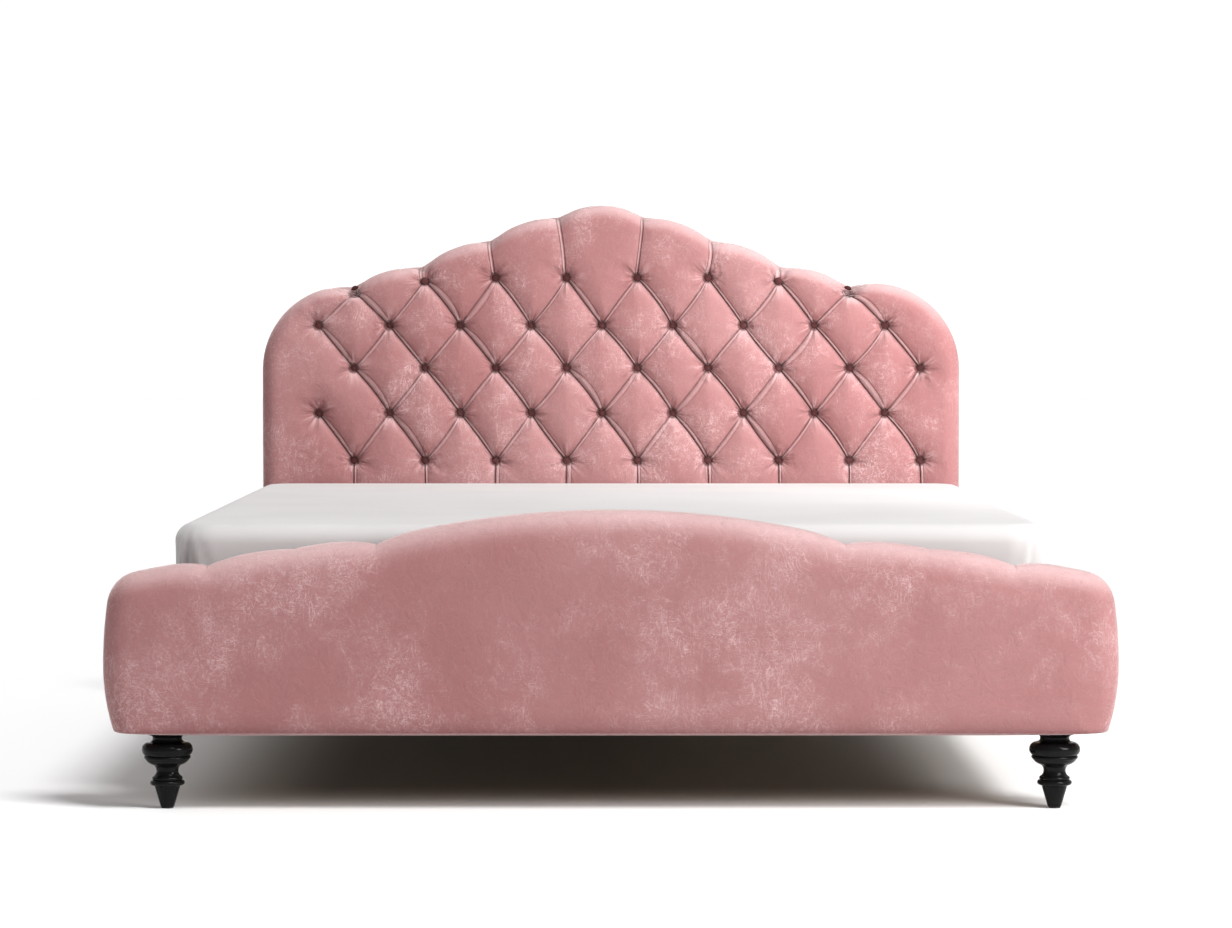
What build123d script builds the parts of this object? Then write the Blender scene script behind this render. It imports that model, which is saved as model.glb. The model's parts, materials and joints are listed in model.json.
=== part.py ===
from build123d import *
import os

# Upholstered bed with a buttoned, scalloped headboard and a rolled footboard.
# Millimetres. The origin is on the floor at the centre of the footprint. +X is to the right of
# someone who stands at the foot and faces the headboard, +Y runs to the head, +Z is up.

# Driving dimensions -------------------------------------------------------------------------
mattress_width = 1800
mattress_length = 2000
mattress_thickness = 250
mattress_top = 570
mattress_corner = 90
mattress_edge = 30
leg_height = 156

foot_gap = 20
head_gap = 10
headboard_depth = 130
footboard_depth = 140
footboard_overhang = 112
crown_height = 1283
footboard_crown = 603

cover_thickness = 2
cover_gap = 0.4
cloth_thickness = 2

# Headboard outline and buttoning, with heights measured down from the crown
shoulder_drop = 423
seam_drop = (29, 90, 158, 210)
seam_flare = 19
lobe_rise = 13
crown_rise = 28
button_margin = 170
lattice_x = -25
headboard_edge = 45
scallop_fillet = 14
button_radius = 9
button_height = 8
button_well = 11
well_depth = 38
row_drop = (187, 310, 420, 536, 659)
top_row_drop = (31, 8, 0, 0, 0, 0, 8, 31)

# Footboard outline
waist_height = 134
foot_tuck = 27
shoulder_height = 343
crease_inset = (200, 540)
crease_rise = 44
corner_lean = 9
corner_drop = 80
corner_width = 64
corner_dip = 19
footboard_edge = 55
footboard_lobe_rise = 6
foot_button_z = 410
foot_button_inset = (200, 372, 540)

# Timber, board and steel
head_board_thickness = 18
head_frame_thickness = 32
head_frame_inset = 20
post_width = 90
batten_height = 70
batten_lift = (40, 450)
arch_rail_drop = 298
foot_board_thickness = 24
foot_board_inset = 48
beam_height = 31
head_beam_depth = 104
foot_beam_depth = 90
foot_beam_inset = 52
leg_inset = 115
head_leg_inset = 82
plate_size = 76
plate_thickness = 3

rail_thickness = 22
rail_pad = 8
rail_drop = 4
rail_lift = 4
slat_count = 13
slat_width = 90
slat_thickness = 20
slat_clearance = 2
slat_edge = 3
ledge_width = 30
ledge_height = 40
cushion_lift = 15
recess_gap = 5
ledge_gap = 8
lining_gap = 2
centre_rail_width = 40
centre_rail_height = 70
hanger_thickness = 3
hanger_lip = 30
hanger_drop = 10
centre_leg_width = 50
centre_leg_y = 380
bracket_size = 60
bracket_share = 0.74
bracket_thickness = 4
bolt_radius = 4
bolt_hole = 4.2
bolt_head_radius = 7
bolt_head_height = 5
bolt_share = 0.41
bolt_offset = 38
bolt_recess = 2
screw_radius = 2.5
screw_hole = 2.7
screw_head_radius = 5
screw_head_height = 3
screw_length = 45
screw_count = 6
screw_margin = 80

foot_travel = 12
foot_disc_radius = 22
foot_disc_height = 8
foot_disc_edge = 2
foot_margin = 5
stud_radius = 5
stud_clearance = 0.06
stud_length = 60
glide_radius = 12
glide_thickness = 3

# Turned legs: the radius of the foot, and the rounds above it as start, middle and end. Each point is
# a radius and a depth below the leg's top, so the tapered foot takes up a change in height.
leg_foot_radius = 13.5
leg_foot_end = ((26, 111), (31, 109))
leg_rounds = {
    "collar": ((31, 109), (35, 104), (29, 99)),
    "bead": ((29, 99), (31, 95), (28, 91)),
    "neck": ((28, 91), (22.3, 80), (29, 68)),
    "shoulder": ((29, 68), (40, 62), (45, 56)),
    "ring": ((45, 56), (47, 52.5), (45, 49)),
    "bulb": ((45, 49), (51.5, 37), (37, 22)),
    "throat": ((37, 22), (30, 17), (30, 12)),
    "cap": ((30, 12), (33, 8), (38, 7)),
}
leg_cap = ((38, 7), (40.5, 5), (40.5, 0))

# How far a cut runs past the surface it opens, and how near counts as the same place
overcut = 1
near = 1

# Places worked out from them ----------------------------------------------------------------
overall_length = footboard_depth + foot_gap + mattress_length + head_gap + headboard_depth
foot_front = -overall_length / 2
foot_back = foot_front + footboard_depth
mattress_foot = foot_back + foot_gap
mattress_head = mattress_foot + mattress_length
head_front = mattress_head + head_gap
head_back = head_front + headboard_depth

frame_back = head_back - cloth_thickness
frame_front = frame_back - head_frame_thickness
head_board_front = frame_front - head_board_thickness
foot_board_front = (foot_front + foot_back - foot_board_thickness) / 2
foot_board_back = foot_board_front + foot_board_thickness

headboard_half = mattress_width / 2
footboard_half = headboard_half + footboard_overhang
pitch = (mattress_width - 2 * button_margin) / 8
shoulder_start = crown_height - shoulder_drop
row_z = [crown_height - drop for drop in row_drop]
arch_rail_bottom = crown_height - arch_rail_drop
beam_bottom = leg_height + plate_thickness
beam_top = beam_bottom + beam_height
batten_z = [beam_top + lift for lift in batten_lift]
slat_top = mattress_top - mattress_thickness
slat_bottom = slat_top - slat_thickness
rail_bottom = beam_top + rail_lift
rail_top = slat_top - rail_drop
rail_middle = (rail_bottom + rail_top) / 2
bracket_height = (rail_top - rail_bottom) * bracket_share
bolt_pitch = (rail_top - rail_bottom) * bolt_share
cushion_bottom = slat_top + cushion_lift
rail_outer = headboard_half
pad_outer = rail_outer - cover_thickness
rail_face = pad_outer - rail_pad
rail_inner = rail_face - rail_thickness
ledge_inner = rail_inner - ledge_width
ledge_foot = foot_board_back + bracket_size + ledge_gap
ledge_head = head_board_front - bracket_size - ledge_gap
lining_half = rail_inner - bracket_size - lining_gap
shoulder_z = leg_height + shoulder_height
foot_beam_front = (foot_board_front + foot_board_back - foot_beam_depth) / 2
head_leg_y = frame_back - head_beam_depth / 2
foot_leg_y = foot_beam_front + foot_beam_depth / 2
leg_spots = {
    "front_left": (-(footboard_half - leg_inset), foot_leg_y),
    "front_right": (footboard_half - leg_inset, foot_leg_y),
    "rear_left": (-(headboard_half - head_leg_inset), head_leg_y),
    "rear_right": (headboard_half - head_leg_inset, head_leg_y),
}
sides = {"left": -1, "right": 1}
bolt_z = [rail_middle + way * bolt_pitch / 2 for way in sides.values()]

os.makedirs("parts", exist_ok=True)


def upright(y):
    """The vertical plane at depth y that faces the foot of the bed."""
    return Plane.XZ.offset(-y)


def block(x, y, z, mode=Mode.ADD):
    """A box from its low and high x, y and z, in either order."""
    spans = [sorted(span) for span in (x, y, z)]
    with Locations(tuple((low + high) / 2 for low, high in spans)):
        Box(*(high - low for low, high in spans), mode=mode)


def save(piece, name):
    """Label a finished piece and write it as its own STEP file."""
    piece.part.label = name
    export_step(piece.part, f"parts/{name}.step")


# Outlines -----------------------------------------------------------------------------------
def seam_point(k, side, inset):
    """Where the seam k steps out from the crown meets the headboard's top edge."""
    x = lattice_x + side * ((k + 0.5) * pitch + seam_flare * (1 - k / 4))
    return (x, crown_height - seam_drop[k] - inset)


def headboard_face(inset):
    """Front view of the headboard in x and z, drawn in by inset at the sides, top and bottom."""
    seams = [seam_point(k, -1, inset) for k in (3, 2, 1, 0)]
    seams += [seam_point(k, 1, inset) for k in (0, 1, 2, 3)]
    half = headboard_half - inset
    bottom = leg_height + inset
    left_start = (-half, shoulder_start)
    right_start = (half, shoulder_start)
    with BuildSketch() as face:
        with BuildLine():
            Polyline(left_start, (-half, bottom), (half, bottom), right_start)
            TangentArc(left_start, seams[0], tangent=(0, 1))
            TangentArc(right_start, seams[-1], tangent=(0, 1))
            for number, (start, end) in enumerate(zip(seams, seams[1:])):
                SagittaArc(start, end, crown_rise if number == 3 else lobe_rise)
        make_face()
        scallops = [v for v in face.vertices() if v.Y > shoulder_start + near]
        fillet(scallops, scallop_fillet)
    return face.sketch


def footboard_face(inset):
    """Front view of the footboard in x and z, drawn in by inset at the sides, top and bottom."""
    half = footboard_half - inset
    bottom = leg_height + inset
    top = shoulder_z - inset
    crown = footboard_crown - inset
    outer_crease = (footboard_half - crease_inset[0], top)
    inner_crease = (footboard_half - crease_inset[1], top + crease_rise)
    waist = (half, leg_height + waist_height)
    arch_rise = crown - inner_crease[1]
    arch_radius = (inner_crease[0] ** 2 / arch_rise + arch_rise) / 2
    with BuildSketch() as face:
        with BuildLine():
            Line((0, bottom), (half - foot_tuck, bottom))
            TangentArc(waist, (half - foot_tuck, bottom), tangent=(0, -1))
            bulge = TangentArc(waist, (half - corner_lean, top - corner_drop), tangent=(0, 1))
            corner = TangentArc(bulge @ 1, (half - corner_width, top - corner_dip), tangent=bulge % 1)
            TangentArc(corner @ 1, outer_crease, tangent=corner % 1)
            SagittaArc(outer_crease, inner_crease, -footboard_lobe_rise)
            RadiusArc(inner_crease, (0, crown), -arch_radius)
            Line((0, crown), (0, bottom))
        make_face()
        mirror(about=Plane.YZ)
        crease_x = (outer_crease[0], inner_crease[0])
        creases = [v for v in face.vertices() if min(abs(abs(v.X) - x) for x in crease_x) < near]
        fillet(creases, scallop_fillet)
    return face.sketch


def headboard_button_spots():
    """The x and z of every headboard button: five staggered rows."""
    spots = []
    for row, z in enumerate(row_z):
        if row % 2:
            columns = [step for step in range(-4, 5)]
        else:
            columns = [step - 3.5 for step in range(8 if row == 0 else 9)]
        drops = top_row_drop if row == 0 else [0] * len(columns)
        spots += [(lattice_x + step * pitch, z - drop) for step, drop in zip(columns, drops)]
    return spots


head_spots = headboard_button_spots()
foot_spots = [(side * (footboard_half - inset), foot_button_z) for inset in foot_button_inset
              for side in sides.values()]


# Cushions -----------------------------------------------------------------------------------
def headboard_cushion(skin, wells):
    """The headboard's padded body, skin millimetres inside its outer surface."""
    face = headboard_face(skin)
    with BuildPart() as cushion:
        with BuildSketch(upright(frame_back)):
            add(face)
        extrude(amount=frame_back - head_front - skin)
        front = cushion.edges().group_by(Axis.Y)[0]
        rounded = [edge for edge in front if edge.center().Z > leg_height + skin + near]
        fillet(rounded, headboard_edge - skin)
        below = (-mattress_width, mattress_width)
        block(below, (head_front - overcut, head_board_front), (0, cushion_bottom + skin), Mode.SUBTRACT)
        beam_ends = headboard_half - head_frame_inset
        block((-beam_ends, beam_ends), (head_board_front - overcut, head_back), (0, beam_top),
              Mode.SUBTRACT)
        if wells:
            with BuildSketch(upright(head_front - overcut)):
                with Locations(*head_spots):
                    Circle(button_well)
            extrude(amount=-well_depth - overcut, mode=Mode.SUBTRACT)
    return cushion.part


def footboard_cushion(skin, wells):
    """The footboard's padded body, skin millimetres inside its outer surface."""
    face = footboard_face(skin)
    with BuildPart() as cushion:
        with BuildSketch(upright(foot_back - skin)):
            add(face)
        extrude(amount=footboard_depth - 2 * skin)
        ends = cushion.edges().group_by(Axis.Y)
        rounded = [edge for edge in ends[0] + ends[-1] if edge.center().Z > leg_height + skin + near]
        fillet(rounded, footboard_edge - skin)
        recess = rail_outer + recess_gap + skin
        recess_y = (foot_board_back, foot_back + overcut)
        block((-recess, recess), recess_y, (0, cushion_bottom + skin), Mode.SUBTRACT)
        beam_ends = footboard_half - foot_beam_inset
        beam_back = foot_beam_front + foot_beam_depth
        block((-beam_ends, beam_ends), (foot_beam_front, beam_back), (0, beam_top), Mode.SUBTRACT)
        if wells:
            with BuildSketch(upright(foot_back + overcut)):
                with Locations(*foot_spots):
                    Circle(button_well)
            extrude(amount=well_depth + overcut, mode=Mode.SUBTRACT)
    return cushion.part


head_outer = headboard_cushion(0, True)
head_under_cover = headboard_cushion(cover_thickness, False)
head_foam_body = headboard_cushion(cover_thickness + cover_gap, True)
head_frame_face = headboard_face(head_frame_inset)

with BuildPart() as headboard_cover:
    add(head_outer)
    add(head_under_cover, mode=Mode.SUBTRACT)
save(headboard_cover, "headboard_cover")

with BuildPart() as headboard_foam:
    add(head_foam_body)
    with BuildSketch(upright(frame_back)):
        add(head_frame_face)
    extrude(amount=head_frame_thickness + head_board_thickness, mode=Mode.SUBTRACT)
save(headboard_foam, "headboard_foam")

with BuildPart() as headboard_buttons:
    with BuildSketch(upright(head_front + well_depth)):
        with Locations(*head_spots):
            Circle(button_radius)
    extrude(amount=button_height)
    fillet(headboard_buttons.edges().group_by(Axis.Y)[0], button_height / 2)
save(headboard_buttons, "headboard_buttons")

# Headboard frame: board, posts, arched top rail, battens and base beam -----------------------
with BuildPart() as headboard_board:
    with BuildSketch(upright(frame_front)):
        add(head_frame_face)
    extrude(amount=head_board_thickness)
    block((-mattress_width, mattress_width), (head_front, head_back), (0, beam_top), Mode.SUBTRACT)
    for side in sides.values():
        with BuildSketch(upright(frame_front)):
            with Locations(*[(side * (rail_inner - bolt_offset), z) for z in bolt_z]):
                Circle(bolt_hole)
        extrude(amount=head_board_thickness, mode=Mode.SUBTRACT)
save(headboard_board, "headboard_board")

with BuildPart() as headboard_arch_rail:
    with BuildSketch(upright(frame_back)):
        add(head_frame_face)
    extrude(amount=head_frame_thickness)
    block((-mattress_width, mattress_width), (head_front, head_back), (0, arch_rail_bottom), Mode.SUBTRACT)
save(headboard_arch_rail, "headboard_arch_rail")

post_outer = headboard_half - head_frame_inset
for side_name, side in sides.items():
    with BuildPart() as post:
        with BuildSketch(upright(frame_back)):
            add(head_frame_face)
        extrude(amount=head_frame_thickness)
        post_x = (side * (post_outer - post_width), side * (post_outer + overcut))
        block(post_x, (frame_front, frame_back), (beam_top, arch_rail_bottom), Mode.INTERSECT)
    save(post, f"headboard_post_{side_name}")

with BuildPart() as headboard_battens:
    for z in batten_z:
        span = post_outer - post_width
        block((-span, span), (frame_front, frame_back), (z, z + batten_height))
save(headboard_battens, "headboard_battens")

with BuildPart() as headboard_base_beam:
    block((-post_outer, post_outer), (frame_back - head_beam_depth, frame_back), (beam_bottom, beam_top))
save(headboard_base_beam, "headboard_base_beam")

back_face = headboard_face(head_frame_inset / 2)
with BuildPart() as headboard_back_cloth:
    with BuildSketch(upright(head_back)):
        add(back_face)
    extrude(amount=cloth_thickness)
save(headboard_back_cloth, "headboard_back_cloth")

lining_z = (beam_top + cloth_thickness, cushion_bottom - cloth_thickness)
with BuildPart() as headboard_lining:
    lining_y = (head_board_front - cloth_thickness, head_board_front)
    block((-lining_half, lining_half), lining_y, lining_z)
save(headboard_lining, "headboard_lining")

# Footboard: cover, foam, board, base beam, lining and buttons --------------------------------
foot_outer = footboard_cushion(0, True)
foot_under_cover = footboard_cushion(cover_thickness, False)
foot_foam_body = footboard_cushion(cover_thickness + cover_gap, True)
foot_board_face = footboard_face(foot_board_inset)

with BuildPart() as footboard_cover:
    add(foot_outer)
    add(foot_under_cover, mode=Mode.SUBTRACT)
save(footboard_cover, "footboard_cover")

with BuildPart() as footboard_foam:
    add(foot_foam_body)
    with BuildSketch(upright(foot_board_back)):
        add(foot_board_face)
    extrude(amount=foot_board_thickness, mode=Mode.SUBTRACT)
save(footboard_foam, "footboard_foam")

with BuildPart() as footboard_board:
    with BuildSketch(upright(foot_board_back)):
        add(foot_board_face)
    extrude(amount=foot_board_thickness)
    block((-mattress_width, mattress_width), (foot_front, foot_back), (0, beam_top), Mode.SUBTRACT)
    for side in sides.values():
        with BuildSketch(upright(foot_board_back)):
            with Locations(*[(side * (rail_inner - bolt_offset), z) for z in bolt_z]):
                Circle(bolt_hole)
        extrude(amount=foot_board_thickness, mode=Mode.SUBTRACT)
save(footboard_board, "footboard_board")

with BuildPart() as footboard_base_beam:
    beam_half = footboard_half - foot_beam_inset
    block((-beam_half, beam_half), (foot_beam_front, foot_beam_front + foot_beam_depth),
          (beam_bottom, beam_top))
save(footboard_base_beam, "footboard_base_beam")

with BuildPart() as footboard_lining:
    lining_y = (foot_board_back, foot_board_back + cloth_thickness)
    block((-lining_half, lining_half), lining_y, lining_z)
save(footboard_lining, "footboard_lining")

with BuildPart() as footboard_buttons:
    with BuildSketch(upright(foot_back - well_depth)):
        with Locations(*foot_spots):
            Circle(button_radius)
    extrude(amount=-button_height)
    fillet(footboard_buttons.edges().group_by(Axis.Y)[-1], button_height / 2)
save(footboard_buttons, "footboard_buttons")

# Side rails: board, pad, cover and slat ledge ------------------------------------------------
rail_y = (foot_board_back, head_board_front)
ledge_y = (ledge_foot, ledge_head)
ledge_middle = (ledge_foot + ledge_head) / 2
screw_pitch = (ledge_head - ledge_foot - 2 * screw_margin) / (screw_count - 1)
screw_y = [ledge_middle + (step - (screw_count - 1) / 2) * screw_pitch for step in range(screw_count)]
screw_z = slat_bottom - ledge_height / 2
bracket_bolt_y = (foot_board_back + bolt_offset, head_board_front - bolt_offset)


def holes_along_x(spots, radius, x):
    """Round holes along X through the part being built, at the given y and z."""
    low, high = sorted(x)
    with Locations(*[((low + high) / 2, y, z) for y, z in spots]):
        Cylinder(radius, high - low, rotation=(0, 90, 0), mode=Mode.SUBTRACT)


for side_name, side in sides.items():
    screw_spots = [(y, screw_z) for y in screw_y]
    bracket_spots = [(y, z) for y in bracket_bolt_y for z in bolt_z]
    with BuildPart() as rail_board:
        block((side * rail_inner, side * rail_face), rail_y, (rail_bottom, rail_top))
        screw_tip = ledge_inner + screw_length
        holes_along_x(screw_spots, screw_hole, (side * rail_inner, side * (screw_tip + overcut)))
        holes_along_x(bracket_spots, bolt_hole, (side * rail_inner, side * rail_face))
    save(rail_board, f"rail_board_{side_name}")

    with BuildPart() as rail_foam:
        block((side * rail_face, side * pad_outer), rail_y, (rail_bottom, rail_top))
    save(rail_foam, f"rail_foam_{side_name}")

    with BuildPart() as rail_cover:
        cover_x = (side * rail_inner, side * rail_outer)
        block(cover_x, rail_y, (rail_bottom - cover_thickness, rail_top + cover_thickness))
        block((side * rail_inner, side * pad_outer), rail_y, (rail_bottom, rail_top), Mode.SUBTRACT)
    save(rail_cover, f"rail_cover_{side_name}")

    with BuildPart() as slat_ledge:
        ledge_x = (side * ledge_inner, side * rail_inner)
        block(ledge_x, ledge_y, (slat_bottom - ledge_height, slat_bottom))
        holes_along_x(screw_spots, screw_hole, ledge_x)
    save(slat_ledge, f"slat_ledge_{side_name}")


def pegs_along_x(spots, start, end, radius, head_radius, head_height):
    """Round-headed pins along X from start to end, with the head outside start."""
    way = 1 if end > start else -1
    for centre, span, size in (((start + end) / 2, abs(end - start), radius),
                               (start - way * head_height / 2, head_height, head_radius)):
        with Locations(*[(centre, y, z) for y, z in spots]):
            Cylinder(size, span, rotation=(0, 90, 0))


with BuildPart() as ledge_screws:
    for side in sides.values():
        start = side * ledge_inner
        end = side * (ledge_inner + screw_length)
        screws = [(y, screw_z) for y in screw_y]
        pegs_along_x(screws, start, end, screw_radius, screw_head_radius, screw_head_height)
save(ledge_screws, "ledge_screws")

# Corner brackets between the rails and the two end boards ------------------------------------
corners = {
    "front_left": (-1, foot_board_back, 1),
    "front_right": (1, foot_board_back, 1),
    "rear_left": (-1, head_board_front, -1),
    "rear_right": (1, head_board_front, -1),
}
bracket_z = (rail_middle - bracket_height / 2, rail_middle + bracket_height / 2)

for corner_name, (side, board_y, way) in corners.items():
    with BuildPart() as bracket:
        inner_x = side * (rail_inner - bracket_thickness)
        far_y = board_y + way * bracket_size
        block((inner_x, side * rail_inner), (board_y, far_y), bracket_z)
        block((side * (rail_inner - bracket_size), inner_x),
              (board_y, board_y + way * bracket_thickness), bracket_z)
        holes_along_x([(board_y + way * bolt_offset, z) for z in bolt_z], bolt_hole,
                      (inner_x, side * rail_inner))
        with BuildSketch(upright(max(board_y, board_y + way * bracket_thickness))):
            with Locations(*[(side * (rail_inner - bolt_offset), z) for z in bolt_z]):
                Circle(bolt_hole)
        extrude(amount=bracket_thickness, mode=Mode.SUBTRACT)
    save(bracket, f"rail_bracket_{corner_name}")

with BuildPart() as bracket_bolts:
    for side, board_y, way in corners.values():
        start = side * (rail_inner - bracket_thickness)
        end = side * (rail_face - bolt_recess)
        bolts = [(board_y + way * bolt_offset, z) for z in bolt_z]
        pegs_along_x(bolts, start, end, bolt_radius, bolt_head_radius, bolt_head_height)
        board_bolt_x = side * (rail_inner - bolt_offset)
        shank_start = board_y + way * bracket_thickness
        shank_end = board_y - way * (head_board_thickness - bolt_recess)
        head_y = shank_start + way * bolt_head_height / 2
        for z in bolt_z:
            with Locations((board_bolt_x, (shank_start + shank_end) / 2, z)):
                Cylinder(bolt_radius, abs(shank_end - shank_start), rotation=(90, 0, 0))
            with Locations((board_bolt_x, head_y, z)):
                Cylinder(bolt_head_radius, bolt_head_height, rotation=(90, 0, 0))
save(bracket_bolts, "bracket_bolts")

# Slats, centre rail, its hangers, the centre leg and its levelling foot ----------------------
slat_half = rail_inner - slat_clearance
slat_pitch = (ledge_head - ledge_foot - slat_width) / (slat_count - 1)
for number in range(slat_count):
    slat_y = ledge_foot + slat_width / 2 + number * slat_pitch
    with BuildPart() as slat:
        block((-slat_half, slat_half), (slat_y - slat_width / 2, slat_y + slat_width / 2),
              (slat_bottom, slat_top))
        fillet(slat.edges().filter_by(Axis.X), slat_edge)
    save(slat, f"slat_{number + 1:02d}")

hanger_faces = (foot_board_back + cloth_thickness, head_board_front - cloth_thickness)
centre_half = centre_rail_width / 2
centre_bottom = max(slat_bottom - centre_rail_height, beam_top + hanger_thickness + rail_lift)
centre_y = (hanger_faces[0] + hanger_thickness, hanger_faces[1] - hanger_thickness)
with BuildPart() as centre_rail:
    block((-centre_half, centre_half), centre_y, (centre_bottom, slat_bottom))
save(centre_rail, "centre_rail")

with BuildPart() as centre_rail_hangers:
    for face_y, way in zip(hanger_faces, (1, -1)):
        hanger_half = centre_half + hanger_thickness
        hanger_z = (centre_bottom - hanger_thickness, slat_bottom - hanger_drop)
        block((-hanger_half, hanger_half), (face_y, face_y + way * hanger_lip), hanger_z)
        seat_y = (face_y + way * hanger_thickness, face_y + way * (hanger_lip + overcut))
        block((-centre_half, centre_half), seat_y, (centre_bottom, slat_bottom), Mode.SUBTRACT)
save(centre_rail_hangers, "centre_rail_hangers")

leg_bottom = foot_disc_height + foot_travel + foot_margin
leg_half = centre_leg_width / 2
with BuildPart() as centre_leg:
    block((-leg_half, leg_half), (centre_leg_y - leg_half, centre_leg_y + leg_half),
          (leg_bottom, centre_bottom))
    with BuildSketch(Plane.XY.offset(leg_bottom)):
        with Locations((0, centre_leg_y)):
            Circle(stud_radius + stud_clearance)
    extrude(amount=stud_length, mode=Mode.SUBTRACT)
save(centre_leg, "centre_leg")

with BuildPart() as levelling_foot:
    with BuildSketch():
        with Locations((0, centre_leg_y)):
            Circle(foot_disc_radius)
    extrude(amount=foot_disc_height)
    fillet(levelling_foot.edges().group_by(Axis.Z)[-1], foot_disc_edge)
    with BuildSketch(Plane.XY.offset(foot_disc_height)):
        with Locations((0, centre_leg_y)):
            Circle(stud_radius)
    extrude(amount=stud_length)
save(levelling_foot, "levelling_foot")

# Turned legs, their plates and felt glides ---------------------------------------------------
def turned(x, points):
    """Points of the leg's profile, given as radius and depth below its top, for a leg at x."""
    return [(x + radius, leg_height - depth) for radius, depth in points]


for spot_name, (leg_x, leg_y) in leg_spots.items():
    with BuildPart() as turned_leg:
        with BuildSketch(Plane.XZ.offset(-leg_y)):
            with BuildLine():
                foot = (leg_x + leg_foot_radius, glide_thickness)
                Polyline((leg_x, glide_thickness), foot, *turned(leg_x, leg_foot_end))
                for arc in leg_rounds.values():
                    ThreePointArc(*turned(leg_x, arc))
                Polyline(*turned(leg_x, leg_cap), (leg_x, leg_height), (leg_x, glide_thickness))
            make_face()
        revolve(axis=Axis((leg_x, leg_y, 0), (0, 0, 1)))
    save(turned_leg, f"leg_{spot_name}")

with BuildPart() as leg_plates:
    for leg_x, leg_y in leg_spots.values():
        half = plate_size / 2
        block((leg_x - half, leg_x + half), (leg_y - half, leg_y + half), (leg_height, beam_bottom))
save(leg_plates, "leg_plates")

with BuildPart() as felt_glides:
    with BuildSketch():
        with Locations(*leg_spots.values()):
            Circle(glide_radius)
    extrude(amount=glide_thickness)
save(felt_glides, "felt_glides")


# Mattress and fitted sheet -------------------------------------------------------------------
def mattress_body(skin):
    """The mattress with its rounded corners, skin millimetres inside the fitted sheet."""
    with BuildPart() as body:
        with BuildSketch(Plane.XY.offset(slat_top)):
            with Locations((0, (mattress_foot + mattress_head) / 2)):
                RectangleRounded(mattress_width - 2 * skin, mattress_length - 2 * skin,
                                 mattress_corner - skin)
        extrude(amount=mattress_thickness - skin)
        fillet(body.edges().group_by(Axis.Z)[-1], mattress_edge - skin)
    return body.part


sheet_outside = mattress_body(0)
sheet_inside = mattress_body(cover_thickness)
core_body = mattress_body(cover_thickness + cover_gap)

with BuildPart() as mattress_core:
    add(core_body)
save(mattress_core, "mattress_core")

with BuildPart() as fitted_sheet:
    add(sheet_outside)
    add(sheet_inside, mode=Mode.SUBTRACT)
    block((-mattress_width, mattress_width), (foot_front, head_back), (0, slat_top + cover_thickness),
          Mode.SUBTRACT)
save(fitted_sheet, "fitted_sheet")
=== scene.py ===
# %% [markdown]
# # An upholstered bed with a buttoned headboard
# The bed stands on a frame whose pieces are already there, at their real size and place. This lesson
# adds what the eye sees first: deep-buttoned velvet, a smooth padded footboard, a fitted sheet, lacquered
# legs and raw timber. Lengths are metres, +Y runs from the footboard to the headboard and +Z is up.

# %% Load the frame
import json
import math

import bmesh
import bpy
import numpy as np
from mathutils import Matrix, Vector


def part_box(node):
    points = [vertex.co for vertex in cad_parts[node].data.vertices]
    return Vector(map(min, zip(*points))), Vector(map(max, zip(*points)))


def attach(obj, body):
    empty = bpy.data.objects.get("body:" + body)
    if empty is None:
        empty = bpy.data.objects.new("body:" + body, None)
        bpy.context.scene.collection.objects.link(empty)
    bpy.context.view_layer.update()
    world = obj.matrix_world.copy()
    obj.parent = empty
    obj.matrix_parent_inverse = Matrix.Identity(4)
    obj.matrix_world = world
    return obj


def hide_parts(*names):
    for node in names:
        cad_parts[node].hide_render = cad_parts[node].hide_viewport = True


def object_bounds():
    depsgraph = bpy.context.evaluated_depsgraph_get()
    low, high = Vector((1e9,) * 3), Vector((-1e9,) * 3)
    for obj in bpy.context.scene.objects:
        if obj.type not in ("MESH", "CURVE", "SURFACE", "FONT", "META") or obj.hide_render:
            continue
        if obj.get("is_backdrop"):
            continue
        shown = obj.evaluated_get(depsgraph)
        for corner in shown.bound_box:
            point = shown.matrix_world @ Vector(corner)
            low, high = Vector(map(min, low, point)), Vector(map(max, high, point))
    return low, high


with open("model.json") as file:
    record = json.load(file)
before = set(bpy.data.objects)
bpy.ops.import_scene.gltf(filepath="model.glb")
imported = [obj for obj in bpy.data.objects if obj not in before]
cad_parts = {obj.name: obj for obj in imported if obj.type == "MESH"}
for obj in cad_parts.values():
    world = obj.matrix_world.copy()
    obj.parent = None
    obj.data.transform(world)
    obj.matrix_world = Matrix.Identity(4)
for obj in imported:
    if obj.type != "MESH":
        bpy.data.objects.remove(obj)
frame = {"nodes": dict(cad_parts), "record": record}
cad_low, cad_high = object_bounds()
nodes = frame["nodes"]
print("frame:", len(nodes), "nodes, box", list(cad_low), list(cad_high))

# %% [markdown]
# ## Camera and light
# A long lens from far away keeps the bed's lines calm, and the camera looks only slightly down. A soft sun
# from the upper right is the key. A lamp near the right end of the footboard makes the velvet fade from
# light to dark across the bed, and a narrow one does the same for the headboard. The surround is a dim
# grey with a bright backdrop straight behind the bed, so that the folds keep their shadows.

# %% Camera
camera_data = bpy.data.cameras.new("camera")
camera_data.lens = 109.8
camera = bpy.data.objects.new("camera", camera_data)
camera.location = (0, cad_low[1] - 7.5, 0.982)
camera.rotation_euler = (math.radians(90 - 2.165), 0, math.radians(-0.076))
bpy.context.scene.collection.objects.link(camera)
bpy.context.scene.camera = camera


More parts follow.
